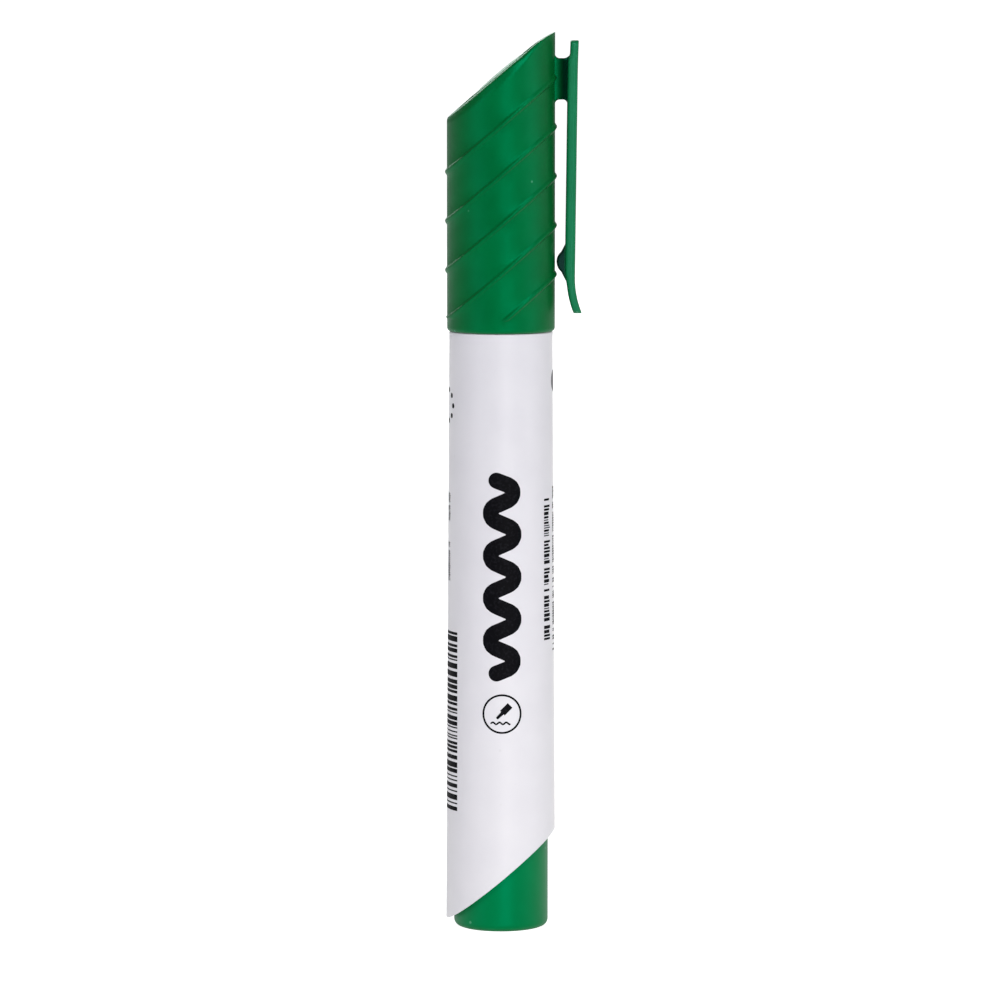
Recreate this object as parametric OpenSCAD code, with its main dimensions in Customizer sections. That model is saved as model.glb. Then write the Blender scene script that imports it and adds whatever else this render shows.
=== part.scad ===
/* [Marker] */
// Overall length, from the plug's end face to the tip of the cap
total_len = 140; // [138:0.5:146]
// Slant of the cap's top, the cap's ribs and the barrel's rear end, in degrees from level
slant = 40; // [36:1:42]
// Height of the joint line between barrel and cap
mouth_z = 93.6; // [92:0.1:94]

/* [Cap] */
// Outside diameter of the cap
cap_d = 16.8; // [16.8:0.1:17.4]
// Thickness of the cap's side wall
cap_wall = 1.1; // [1:0.05:1.2]
// Thickness of the cap's slanted top
cap_top_t = 1.2; // [1:0.1:1.6]
// Height of the slanted top on the marker's axis, below the overall length
cap_top_drop = 6.3; // [6:0.1:6.8]
// Width of the rim round the slanted top's shallow pan
rim_w = 1.3; // [1:0.1:2]
// Depth of the pan
pan_d = 0.3; // [0.2:0.05:0.4]
// Radius of the round boss in the pan
boss_r = 5.15; // [4:0.05:5.5]
// How far the boss stands above the rim
boss_rise = 0.25; // [0.1:0.05:0.3]
// Shift of the boss from the axis towards the low side, along the slant
boss_shift = 0.45; // [0:0.05:0.8]
// Radius of the mouth's outer edge
mouth_edge_r = 0.55; // [0.3:0.05:0.8]
// Number of raised ribs round the cap
rib_count = 5; // [1:1:5]
// Distance from one rib to the next, along the axis
rib_pitch = 7.63; // [6.5:0.01:7.8]
// How far a rib stands out from the cap
rib_h = 0.3; // [0.15:0.05:0.4]
// Width of a rib, across its slanted run
rib_w = 0.6; // [0.4:0.05:1]
// Height of the plain band between the mouth and the lowest rib
plain_band = 1.9; // [1.5:0.1:3]

/* [Clip] */
// Width of the clip bar, along Y
clip_w = 4.6; // [4:0.1:6]
// Thickness of the clip bar
clip_t = 1.55; // [1.4:0.05:1.6]
// Thickness of the bar's top end, above the bridge
clip_end_t = 1.3; // [1.1:0.05:1.4]
// Distance from the marker's axis to the bar's outer face at its top end
clip_out_x = 12.04; // [12:0.01:12.4]
// Lean of the bar towards the cap, in degrees
clip_lean = 0.87; // [0.8:0.01:0.95]
// Height of the bar's top end, below the overall length
clip_top_drop = 1.3; // [1:0.1:2]
// Height of the bar's flared tip above the cap's mouth
clip_tip_rise = 2.85; // [2.5:0.05:4]
// Radius of the flare at the tip
flare_r = 15; // [14:0.5:20]
// Width of the bridge and of the bump, along Y
bridge_w = 2.4; // [2:0.1:3.9]
// Height of the bridge between cap and bar
bridge_h = 6.4; // [5:0.1:6.6]
// Radius of the bump's nose
bump_r = 1.6; // [1.4:0.05:1.65]
// Gap between the bump and the cap
bump_gap = 0.25; // [0.2:0.05:0.6]

/* [Barrel] */
// Outside diameter of the barrel at the joint line
barrel_front_d = 16.12; // [16:0.02:16.4]
// Outside diameter of the barrel at its rear end
barrel_rear_d = 17.22; // [16.8:0.02:17.6]
// Height of the slanted rear end on the marker's axis
rear_z = 8.25; // [8.25:0.05:10]
// Length of the neck under the cap
neck_len = 10.4; // [9:0.1:11]
// Number of ribs inside the barrel that centre the reservoir
centring_ribs = 6; // [4:2:8]

/* [End plug] */
// Outside diameter of the end plug
plug_d = 14.76; // [14.6:0.02:14.8]
// Length of the end plug
plug_len = 24; // [22:1:30]
// Radius of the plug's outer bottom edge
plug_edge_r = 1; // [0.5:0.1:1.2]

/* [Writing end] */
// Diameter of the nib rod
nib_d = 4.5; // [4:0.1:5]
// Radius of the nib's rounded tip
nib_tip_r = 1.5; // [1:0.1:1.9]
// Length from the joint line to the nib's tip
nib_reach = 27.9; // [27:0.1:28]
// Diameter of the nozzle that the cap seals on
nozzle_d = 8.8; // [8.4:0.1:9]
// Diameter of the wrapped reservoir
reservoir_d = 11.7; // [11:0.1:11.8]
// Thickness of the reservoir's film wrap
wrap_t = 0.15; // [0.1:0.05:0.3]

/* [Hidden] */
$fn = 96;
// A block this large passes the whole marker
far = 200;
// Small run past a face, so that a cut leaves no skin
eps = 0.5;

cap_green = [0.0, 0.36, 0.19];
plug_green = [0.01, 0.47, 0.25];
barrel_white = [0.92, 0.92, 0.94];
liner_white = [0.86, 0.88, 0.86];
holder_white = [0.9, 0.9, 0.9];
fibre_white = [0.93, 0.92, 0.86];
ink_green = [0.02, 0.3, 0.16];
film_clear = [0.8, 0.86, 0.84];

// Cap
cap_r = cap_d / 2;
cap_z = mouth_z + 0.05;
cap_bore_r = cap_r - cap_wall;
cap_top_z = total_len - cap_top_drop;
rib_top_z = cap_top_z - 8;
liner_r = cap_bore_r - 0.4;
liner_z = mouth_z + 17.4;
liner_top_z = mouth_z + 30.6;

// Clip, as a profile in the XZ plane
clip_top_z = total_len - clip_top_drop;
clip_tip_z = cap_z + clip_tip_rise;
flare_z = clip_tip_z + 5.8;
bridge_top_z = clip_top_z - 2.75;
bridge_low_z = bridge_top_z - bridge_h;
bump_z = clip_tip_z + 8;
bump_x = cap_r + bump_gap + bump_r;
// Short flare where the bridge meets the bar
bridge_root = 0.6;

// Barrel and what it holds
neck_r = cap_bore_r - 0.15;
neck_bead_r = cap_bore_r - 0.03;
neck_top_z = mouth_z + neck_len;
neck_bore_r = 6.1;
shelf_z = mouth_z - 5.6;
bore_front_r = barrel_front_d / 2 - 1.1;
bore_rear_r = plug_d / 2 + 0.02;
groove_z = plug_len - 5;
rib_inner_r = reservoir_d / 2 + 0.1;
plug_floor = 1.8;
reservoir_z = 4;
reservoir_top_z = shelf_z + 3;
nozzle_top_z = mouth_z + 22.9;
nib_top_z = mouth_z + nib_reach;
nib_tail_z = reservoir_top_z - 7;

// Everything above, or below, a slanted plane that crosses the axis at height z
module above_slant(z)
    translate([0, 0, z]) rotate([0, -slant, 0]) translate([-far / 2, -far / 2, 0]) cube(far);
module below_slant(z)
    translate([0, 0, z]) rotate([0, -slant, 0]) translate([-far / 2, -far / 2, -far]) cube(far);

// Profile of a round bar whose lower outer edge is rounded
module edged_bar(r, h, edge) {
    square([r - edge, h]);
    translate([0, edge]) square([r, h - edge]);
    translate([r - edge, edge]) circle(edge);
}

// One raised rib: a slanted slice of a thin sleeve round the cap
module cap_rib(z)
    intersection() {
        difference() {
            translate([0, 0, cap_z + plain_band]) cylinder(r = cap_r + rib_h, h = far);
            translate([0, 0, cap_z]) cylinder(r = cap_r - 0.2, h = far);
        }
        translate([0, 0, z]) rotate([0, -slant, 0]) cube([far, far, rib_w], center = true);
    }

// Outer and inner face of the clip bar at height z
function bar_out_x(z) = clip_out_x - (clip_top_z - z) * tan(clip_lean);
function bar_x(z) = bar_out_x(z) - clip_t;
// Points of an arc in the profile plane, about a centre
function arc(cx, cz, r, a0, a1, n) =
    [for (i = [0 : n]) let (a = a0 + (a1 - a0) * i / n) [cx + r * cos(a), cz + r * sin(a)]];

// A profile drawn in XZ, made w wide along Y
module along_y(w)
    translate([0, w / 2, 0]) rotate([90, 0, 0]) linear_extrude(w) children();

// Bridge between the cap's wall and the bar, with a flare where it meets the bar
module clip_bridge()
    difference() {
        along_y(bridge_w) polygon([
            [cap_r - 0.6, bridge_low_z],
            [bar_x(bridge_low_z) - bridge_root, bridge_low_z],
            [bar_x(bridge_low_z - bridge_root), bridge_low_z - bridge_root],
            [bar_x(bridge_top_z + bridge_root), bridge_top_z + bridge_root],
            [bar_x(bridge_top_z) - bridge_root, bridge_top_z],
            [cap_r - 0.6, bridge_top_z]
        ]);
        translate([0, 0, cap_z]) cylinder(r = cap_r - 0.5, h = far);
    }

// Shallow pan in the slanted top, and the boss that stands in it
module top_pan()
    intersection() {
        cylinder(r = cap_r - rim_w, h = far);
        above_slant(cap_top_z - pan_d / cos(slant));
    }
module top_boss()
    translate([0, 0, cap_top_z]) rotate([0, -slant, 0])
        translate([-boss_shift, 0, -pan_d - 0.2]) cylinder(r = boss_r, h = pan_d + 0.2 + boss_rise);

module cap_shell()
    color(cap_green) difference() {
        union() {
            difference() {
                union() {
                    translate([0, 0, cap_z])
                        rotate_extrude() edged_bar(cap_r, total_len - cap_z, mouth_edge_r);
                    for (i = [0 : rib_count - 1]) cap_rib(rib_top_z - i * rib_pitch);
                    clip_bridge();
                }
                above_slant(cap_top_z);
                top_pan();
            }
            top_boss();
        }
        difference() {
            union() {
                translate([0, 0, cap_z - eps]) cylinder(r = cap_bore_r, h = liner_z - cap_z + eps);
                cylinder(r = liner_r, h = far);
            }
            above_slant(cap_top_z - (cap_top_t + pan_d) / cos(slant));
        }
        translate([0, 0, cap_z - 0.01])
            cylinder(r1 = cap_bore_r + 0.3, r2 = cap_bore_r, h = 0.6);
    }

// Liner: a cup with a thick lip that grips the nozzle
module inner_cap() {
    seal_r = nozzle_d / 2 + 0.05;
    color(liner_white) difference() {
        translate([0, 0, liner_z]) cylinder(r = liner_r, h = liner_top_z - liner_z);
        translate([0, 0, liner_z - eps]) cylinder(r = seal_r, h = far / 10);
        translate([0, 0, liner_z + 2.4]) cylinder(r = liner_r - 1.2, h = liner_top_z - liner_z - 3.6);
        translate([0, 0, liner_z - 0.01]) cylinder(r1 = seal_r + 0.8, r2 = seal_r, h = 0.8);
    }
}

// Bar with its flared tip and the bump that grips a pocket's edge
module pocket_clip() {
    end_z = bridge_top_z + bridge_root;
    flare_x = bar_out_x(flare_z) + flare_r;
    tip_turn = asin((flare_z - clip_tip_z) / flare_r);
    tip_t = clip_t - 0.25;
    color(cap_green) {
        along_y(clip_w) polygon(concat(
            [[clip_out_x, clip_top_z], [clip_out_x - clip_end_t, clip_top_z]],
            [[bar_out_x(end_z) - clip_end_t, end_z + 0.4], [bar_x(end_z), end_z]],
            [[bar_x(flare_z + 3), flare_z + 3]],
            arc(flare_x, flare_z, flare_r + tip_t, 180, 180 + tip_turn * 0.93, 8),
            arc(flare_x, flare_z, flare_r, 180 + tip_turn, 180, 8)
        ));
        along_y(bridge_w) difference() {
            union() {
                translate([bump_x, bump_z]) circle(bump_r);
                polygon([
                    [bump_x - bump_r * cos(30), bump_z + bump_r * sin(30)],
                    [bar_x(bump_z + 2.8), bump_z + 2.8],
                    [bar_x(bump_z) + 0.5, bump_z + 2.8],
                    [bar_x(bump_z) + 0.5, bump_z - 3],
                    [bar_x(bump_z) + 0.3, bump_z - 3],
                    [bump_x - bump_r * cos(-40), bump_z + bump_r * sin(-40)]
                ]);
            }
            translate([bar_x(bump_z) + 0.8, bump_z - far / 2]) square(far);
        }
    }
}

// Slim ribs inside the barrel that hold the reservoir clear of the wall
module centring_rib()
    intersection() {
        translate([rib_inner_r, -0.45, plug_len + 1])
            cube([bore_rear_r - rib_inner_r + 0.3, 0.9, shelf_z - plug_len]);
        cylinder(r = bore_rear_r + 0.2, h = far);
    }

module barrel()
    color(barrel_white) difference() {
        union() {
            difference() {
                union() {
                    cylinder(r1 = barrel_rear_d / 2, r2 = barrel_front_d / 2, h = mouth_z);
                    cylinder(r = neck_r, h = neck_top_z);
                    translate([0, 0, mouth_z + 3.6]) cylinder(r = neck_bead_r, h = 1.4);
                }
                translate([0, 0, -eps]) cylinder(r = bore_rear_r, h = plug_len + eps);
                translate([0, 0, plug_len - 0.01])
                    cylinder(r1 = bore_rear_r, r2 = bore_front_r, h = shelf_z - plug_len);
                translate([0, 0, groove_z - 0.1]) cylinder(r = bore_rear_r + 0.16, h = 1.4);
                cylinder(r = neck_bore_r, h = far);
            }
            for (i = [0 : centring_ribs - 1]) rotate([0, 0, i * 360 / centring_ribs]) centring_rib();
        }
        below_slant(rear_z);
    }

// Front section: shank in the neck, flange on its end, nozzle round the nib
module nib_holder() {
    shank_z = shelf_z + 3.2;
    flange_z = neck_top_z;
    color(holder_white) rotate_extrude() polygon([
        [nib_d / 2, shank_z + 4],
        [nib_d / 2 + 1, shank_z + 4],
        [nib_d / 2 + 1, flange_z - 1.4],
        [neck_bore_r - 1, flange_z - 1.4],
        [neck_bore_r - 1, shank_z],
        [neck_bore_r - 0.3, shank_z],
        [neck_bore_r, shank_z + 0.6],
        [neck_bore_r, flange_z],
        [neck_r - 0.2, flange_z],
        [neck_r - 0.2, flange_z + 0.9],
        [neck_r - 0.5, flange_z + 1.2],
        [nozzle_d / 2 + 1, flange_z + 1.2],
        [nozzle_d / 2, flange_z + 6],
        [nozzle_d / 2, nozzle_top_z - 0.8],
        [nozzle_d / 2 - 0.8, nozzle_top_z],
        [nib_d / 2, nozzle_top_z]
    ]);
}

module nib() {
    ball_z = nib_top_z - nib_tip_r;
    cone_z = ball_z - 1.2;
    color(ink_green) {
        translate([0, 0, nib_tail_z]) cylinder(d = nib_d, h = cone_z - nib_tail_z);
        translate([0, 0, cone_z]) cylinder(r1 = nib_d / 2, r2 = nib_tip_r, h = ball_z - cone_z);
        translate([0, 0, ball_z]) sphere(nib_tip_r);
    }
}

module ink_reservoir()
    color(fibre_white) difference() {
        translate([0, 0, reservoir_z])
            cylinder(r = reservoir_d / 2 - wrap_t, h = reservoir_top_z - reservoir_z);
        translate([0, 0, nib_tail_z]) cylinder(d = nib_d, h = far);
    }

module reservoir_wrap()
    color(film_clear) difference() {
        translate([0, 0, reservoir_z]) cylinder(d = reservoir_d, h = reservoir_top_z - reservoir_z);
        cylinder(r = reservoir_d / 2 - wrap_t, h = far);
    }

// Cup with a snap bead, and a cross on its floor that the reservoir stands on
module end_plug()
    color(plug_green) {
        difference() {
            union() {
                rotate_extrude() edged_bar(plug_d / 2, plug_len, plug_edge_r);
                translate([0, 0, groove_z]) cylinder(r = plug_d / 2 + 0.14, h = 1.2);
            }
            translate([0, 0, plug_floor]) cylinder(r = reservoir_d / 2 + 0.15, h = far);
        }
        for (turn = [0, 90]) rotate([0, 0, turn])
            translate([-5.5, -0.6, plug_floor - 0.2]) cube([11, 1.2, reservoir_z - plug_floor + 0.2]);
    }

cap_shell();
inner_cap();
pocket_clip();
barrel();
nib_holder();
nib();
ink_reservoir();
reservoir_wrap();
end_plug();
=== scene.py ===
import math

import bmesh
import bpy
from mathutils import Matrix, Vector


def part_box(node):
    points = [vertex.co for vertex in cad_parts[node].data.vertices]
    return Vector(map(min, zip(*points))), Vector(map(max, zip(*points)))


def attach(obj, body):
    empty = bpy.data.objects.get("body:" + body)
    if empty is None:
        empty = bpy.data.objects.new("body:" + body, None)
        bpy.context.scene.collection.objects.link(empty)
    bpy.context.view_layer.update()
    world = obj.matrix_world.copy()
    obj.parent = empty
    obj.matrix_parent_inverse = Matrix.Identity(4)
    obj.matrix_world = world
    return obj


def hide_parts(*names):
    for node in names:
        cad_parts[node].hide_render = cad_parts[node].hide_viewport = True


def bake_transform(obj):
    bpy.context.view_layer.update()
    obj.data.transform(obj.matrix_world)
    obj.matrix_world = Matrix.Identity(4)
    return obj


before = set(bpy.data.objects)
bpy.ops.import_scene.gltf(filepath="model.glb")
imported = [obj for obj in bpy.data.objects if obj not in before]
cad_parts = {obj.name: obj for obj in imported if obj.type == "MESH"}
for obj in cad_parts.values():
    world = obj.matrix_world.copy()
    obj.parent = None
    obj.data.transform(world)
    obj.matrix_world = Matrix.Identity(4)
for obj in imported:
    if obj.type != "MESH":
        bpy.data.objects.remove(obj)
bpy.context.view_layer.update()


# ---------------------------------------------------------------------------------------------
# Studio: a plain pale floor that runs to the horizon under a white surround. Soft boxes stand in
# front, at both sides, behind and above, and a spot lights the foot of the marker. The camera looks
# along +Y and six degrees down.
# ---------------------------------------------------------------------------------------------

def put(tree, kind, links=(), **settings):
    """A node of that kind in the tree, with each input given a value or another node's output."""
    node = tree.nodes.new(kind)
    for name, value in settings.items():
        setattr(node, name, value)
    for key, source in dict(links).items():
        if isinstance(source, bpy.types.NodeSocket):
            tree.links.new(source, node.inputs[key])
        else:
            node.inputs[key].default_value = source
    return node


def calc(tree, operation, *values):
    """The result of a Math node."""
    return put(tree, "ShaderNodeMath", dict(enumerate(values)), operation=operation).outputs[0]


def ramp(tree, value, low, high, to_low, to_high, curve="SMOOTHSTEP"):
    """A value taken from one range to another, held at both ends."""
    ends = {"Value": value, "From Min": low, "From Max": high, "To Min": to_low, "To Max": to_high}
    return put(tree, "ShaderNodeMapRange", ends, interpolation_type=curve).outputs["Result"]


def aim(name, lamp, place, target):
    """Stands a lamp in the studio, pointed at its target."""
    holder = bpy.data.objects.new(name, lamp)
    holder.location = place
    holder.rotation_euler = (Vector(target) - Vector(place)).to_track_quat("-Z", "Y").to_euler()
    scene.collection.objects.link(holder)


def soft_box(name, place, size, power, tint=(1, 1, 1)):
    """A soft box pointed at the middle of the marker."""
    lamp = bpy.data.lights.new(name, "AREA")
    lamp.shape = "RECTANGLE"
    lamp.size, lamp.size_y = size
    lamp.energy = power
    lamp.color = tint
    aim(name, lamp, place, (0, 0, 0.07))


scene = bpy.context.scene
scene.view_settings.view_transform = "Standard"

camera = bpy.data.objects.new("camera", bpy.data.cameras.new("camera"))
scene.collection.objects.link(camera)
camera.location = (-0.00015, -0.790, 0.149)
camera_dip = 5.915
camera.rotation_euler = (math.radians(90 - camera_dip), 0, 0)
camera.data.sensor_width = 36
camera.data.lens = 183
camera.data.clip_start = 0.05
camera.data.clip_end = 500
scene.camera = camera

# The surround looks white, but what it sends to the marker is dim, with a bright band behind it
# that shows at the marker's edges.
surround = bpy.data.worlds.new("surround")
surround.use_nodes = True
scene.world = surround
sky = surround.node_tree
sky.nodes.clear()
heading = put(sky, "ShaderNodeSeparateXYZ", {0: put(sky, "ShaderNodeTexCoord").outputs["Generated"]})
sideways = ramp(sky, heading.outputs["X"], -0.9, 0.9, 0.13, 0.20)
behind = ramp(sky, heading.outputs["Y"], 0.93, 0.98, 0.0, 0.9)
glow = calc(sky, "ADD", sideways, behind)
seen = put(sky, "ShaderNodeLightPath").outputs["Is Camera Ray"]
level = put(sky, "ShaderNodeMix", {"Factor": seen, "A": glow, "B": 1.0}).outputs["Result"]
light = put(sky, "ShaderNodeBackground", {"Color": (0.985, 0.99, 1.0, 1), "Strength": level})
put(sky, "ShaderNodeOutputWorld", {"Surface": light.outputs[0]})

soft_box("key_box", (0.27, -1.2, 0.18), (0.32, 1.1), 3.8)
soft_box("left_box", (-0.95, -0.75, 0.3), (0.6, 1.1), 3.0, (0.90, 0.885, 1))
soft_box("right_box", (1.05, -0.45, 0.3), (0.6, 1.1), 3.4, (0.95, 0.945, 1))
soft_box("rear_box", (-0.5, 1.3, 0.9), (0.8, 0.8), 9)
soft_box("top_box", (0.14, -0.85, 0.9), (0.35, 0.35), 4.1)

foot_spot = bpy.data.lights.new("foot_lamp", "SPOT")
foot_spot.spot_size = math.radians(9)
foot_spot.spot_blend = 1.0
foot_spot.shadow_soft_size = 0.06
foot_spot.energy = 14
foot_spot.color = (1.0, 0.955, 0.86)
aim("foot_lamp", foot_spot, (0.25, -1.2, 0.15), (0, 0, -0.005))

# The floor looks white and sends a little light up at the marker.
floor_mesh = bpy.data.meshes.new("floor")
reach = 100
floor_corners = [(-reach, -reach, 0), (reach, -reach, 0), (reach, reach, 0), (-reach, reach, 0)]
floor_mesh.from_pydata(floor_corners, [], [(0, 1, 2, 3)])
floor = bpy.data.objects.new("floor", floor_mesh)
scene.collection.objects.link(floor)
sweep = bpy.data.materials.new("pale_sweep")
sweep.use_nodes = True
paper = sweep.node_tree
paper_shader = paper.nodes["Principled BSDF"]
paper_shader.inputs["Base Color"].default_value = (0.80, 0.80, 0.80, 1)
paper_shader.inputs["Roughness"].default_value = 0.9
paper_shader.inputs["Specular IOR Level"].default_value = 0.0
paper_shader.inputs["Emission Color"].default_value = (1, 1, 1, 1)
seen_lift, floor_lift = 0.7, 0.25
seen = put(paper, "ShaderNodeLightPath").outputs["Is Camera Ray"]
lift = calc(paper, "MULTIPLY_ADD", seen, seen_lift, floor_lift)
paper.links.new(lift, paper_shader.inputs["Emission Strength"])
floor_mesh.materials.append(sweep)


# ---------------------------------------------------------------------------------------------
# Barrel: one white polypropylene moulding, a tube a little wider at the rear, cut off at a slant
# there. At the front it steps down to the neck that the cap slides on, with a snap bead round it.
# ---------------------------------------------------------------------------------------------

# Shapes are in millimetres. MM takes them to the frame's metres.
MM = 0.001


def rounded(corners, looped=False, steps=5):
    """Points along an outline of (x, z, radius) corners, each corner with a radius made an arc."""
    count = len(corners)
    spots = [Vector(corner[:2]) for corner in corners]
    turns = []
    for i, spot in enumerate(spots):
        into = (spots[i - 1] - spot).normalized()
        away = (spots[(i + 1) % count] - spot).normalized()
        half = 0.5 * math.acos(max(-1.0, min(1.0, into.dot(away))))
        plain = corners[i][2] == 0 or (not looped and i in (0, count - 1))
        turns.append((into, away, half, 0.0 if plain else corners[i][2] / math.tan(half)))
    share = []
    for i in range(count):
        edge = (spots[(i + 1) % count] - spots[i]).length
        share.append(min(1.0, 0.75 * edge / (turns[i][3] + turns[(i + 1) % count][3] + 1e-9)))
    points = []
    for i, (into, away, half, reach) in enumerate(turns):
        spot = spots[i]
        if reach == 0:
            points.append(tuple(spot))
            continue
        reach *= min(share[i - 1], share[i])
        middle = spot + (into + away).normalized() * (reach / math.cos(half))
        arm = spot + into * reach - middle
        side = math.copysign(1, away.x * into.y - away.y * into.x)
        points.append(tuple(spot + into * reach * 1.2))
        for k in range(steps + 1):
            a = side * (math.pi - 2 * half) * k / steps
            points.append((middle.x + arm.x * math.cos(a) - arm.y * math.sin(a),
                           middle.y + arm.x * math.sin(a) + arm.y * math.cos(a)))
        points.append(tuple(spot + away * reach * 1.2))
    return points


def solid(name, *shells, crease=32):
    """An object in the frame, in metres, from shells of rings of points in millimetres."""
    mesh = bpy.data.meshes.new(name)
    points = []
    faces = []
    for rings, looped in shells:
        start = len(points)
        count = len(rings[0])
        for ring in rings:
            points.extend(Vector(point) * MM for point in ring)
        for i in range(len(rings) if looped else len(rings) - 1):
            low = start + i * count
            high = start + (i + 1) % len(rings) * count
            for j in range(count):
                k = (j + 1) % count
                faces.append((low + j, low + k, high + k, high + j))
        if not looped:
            faces.append(tuple(range(start, start + count)))
            faces.append(tuple(range(len(points) - count, len(points))))
    mesh.from_pydata(points, [], faces)
    work = bmesh.new()
    work.from_mesh(mesh)
    bmesh.ops.remove_doubles(work, verts=work.verts, dist=0.002 * MM)
    bmesh.ops.dissolve_degenerate(work, edges=work.edges, dist=0.0005 * MM)
    bmesh.ops.recalc_face_normals(work, faces=work.faces)
    work.to_mesh(mesh)
    work.free()
    mesh.polygons.foreach_set("use_smooth", [True] * len(mesh.polygons))
    mesh.set_sharp_from_angle(angle=math.radians(crease))
    made = bpy.data.objects.new(name, mesh)
    scene.collection.objects.link(made)
    return made


def turned(section_at, columns=192):
    """Rings round the axis, from the (radius, height) section at each angle."""
    angles = [2 * math.pi * j / columns for j in range(columns)]
    sections = [section_at(a) for a in angles]
    return [[(section[i][0] * math.cos(a), section[i][0] * math.sin(a), section[i][1])
             for a, section in zip(angles, sections)] for i in range(len(sections[0]))]


def noise(tree, place, scale, detail):
    """Noise from 0 to 1, finer for a larger scale."""
    cloud = put(tree, "ShaderNodeTexNoise", {"Vector": place, "Scale": scale, "Detail": detail})
    return cloud.outputs["Fac"]


def blended(tree, share, first, second):
    """A colour that is the first where the share is 0, and the second where it is 1."""
    mix = put(tree, "ShaderNodeMix", {"Factor": share, 6: first, 7: second}, data_type="RGBA")
    return mix.outputs[2]


def surface(tree, colour, roughness, normal):
    """Feeds a material's Principled shader, and gives the shader back."""
    shader = tree.nodes["Principled BSDF"]
    tree.links.new(colour, shader.inputs["Base Color"])
    tree.links.new(roughness, shader.inputs["Roughness"])
    tree.links.new(normal, shader.inputs["Normal"])
    return shader


def skin_group():
    """Shader group for moulded plastic: cloudy tone, drag lines, grain, specks and painted shade.

    The painted shade is a darker tone for the shadow behind the clip's bar. It deepens from one X to
    another.
    """
    group = bpy.data.node_groups.new("Moulded Skin", "ShaderNodeTree")
    for label, kind, value in (
            ("Tone", "Color", (0.8, 0.8, 0.8, 1)), ("Deep Tone", "Color", (0.7, 0.7, 0.7, 1)),
            ("Speck Tone", "Color", (1, 1, 1, 1)), ("Speck Amount", "Float", 0.5),
            ("Roughness", "Float", 0.4), ("Grain", "Float", 0.1), ("Painted Shade Tone", "Color", (0, 0, 0, 1)),
            ("Painted Shade Start", "Float", 1.0), ("Painted Shade End", "Float", 2.0)):
        socket = group.interface.new_socket(label, in_out="INPUT", socket_type="NodeSocket" + kind)
        socket.default_value = value
    for label, kind in (("Color", "Color"), ("Roughness", "Float"), ("Normal", "Vector")):
        group.interface.new_socket(label, in_out="OUTPUT", socket_type="NodeSocket" + kind)
    given = put(group, "NodeGroupInput").outputs
    place = put(group, "ShaderNodeTexCoord").outputs["Object"]
    deep = ramp(group, noise(group, place, 160.0, 3.0), 0.35, 0.7, 0.0, 1.0)
    grain = noise(group, place, 3800.0, 2.0)
    along = put(group, "ShaderNodeMapping", {"Vector": place, "Scale": (1.0, 1.0, 0.05)}).outputs[0]
    drag = noise(group, along, 2200.0, 2.0)
    cells = put(group, "ShaderNodeTexVoronoi", {"Vector": place, "Scale": 420.0, "Randomness": 1.0})
    chance = put(group, "ShaderNodeSeparateColor", {0: cells.outputs["Color"]}).outputs[0]
    few = ramp(group, chance, 0.93, 0.94, 0.0, 1.0, "LINEAR")
    dot = ramp(group, cells.outputs["Distance"], 0.06, 0.13, 1.0, 0.0)
    speck = calc(group, "MULTIPLY", calc(group, "MULTIPLY", few, dot), given["Speck Amount"])
    sideways = put(group, "ShaderNodeSeparateXYZ", {0: place}).outputs[0]
    # Painted shade: a mask along X that darkens the tone where the clip's bar shades the surface.
    painted_shade = ramp(group, sideways, given["Painted Shade Start"], given["Painted Shade End"], 0.0, 1.0, "LINEAR")
    tone = blended(group, deep, given["Tone"], given["Deep Tone"])
    tone = blended(group, speck, tone, given["Speck Tone"])
    tone = blended(group, painted_shade, tone, given["Painted Shade Tone"])
    rough = calc(group, "MULTIPLY_ADD", drag, 0.12, calc(group, "SUBTRACT", given["Roughness"], 0.06))
    height = calc(group, "MULTIPLY_ADD", drag, 0.5, grain)
    relief = {"Height": height, "Strength": given["Grain"], "Distance": 0.02 * MM}
    bump = put(group, "ShaderNodeBump", relief).outputs[0]
    put(group, "NodeGroupOutput", {"Color": tone, "Roughness": rough, "Normal": bump})
    return group


moulded_skin = skin_group()


def moulded(name, values, **shader_values):
    """A moulded plastic: the skin group, with its own values, on a Principled shader."""
    material = bpy.data.materials.new(name)
    material.use_nodes = True
    tree = material.node_tree
    skin = put(tree, "ShaderNodeGroup", values, node_tree=moulded_skin).outputs
    shader = surface(tree, skin["Color"], skin["Roughness"], skin["Normal"])
    for key, value in shader_values.items():
        shader.inputs[key.replace("_", " ")].default_value = value
    return material


def fit(piece, material, body, slot, *nodes):
    """The finished piece gets its material and rides on its body in place of its CAD nodes."""
    piece.data.materials.clear()
    piece.data.materials.append(material)
    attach(piece, body)
    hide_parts(*nodes)


slope = math.tan(math.radians(40))
joint_gap = 0.05
joint_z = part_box("cap_shell")[0].z / MM - joint_gap
front_r = 8.06
taper = 0.55 / 93.6
rear_z = 8.25
neck_r = 7.15
neck_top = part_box("barrel")[1].z / MM
neck_bore = 6.1
bead_r = neck_r + 0.12
bead_z = joint_z + 4.4
shelf_z = joint_z - 5.6
bore_r, bore_front_r = 7.4, 6.96
bore_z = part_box("end_plug")[1].z / MM
rib_inner_r = 5.95
rib_sunk = 0.15


def barrel_radius(z):
    """Outer radius of the barrel's tapered tube."""
    return front_r + (joint_z - z) * taper


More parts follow.
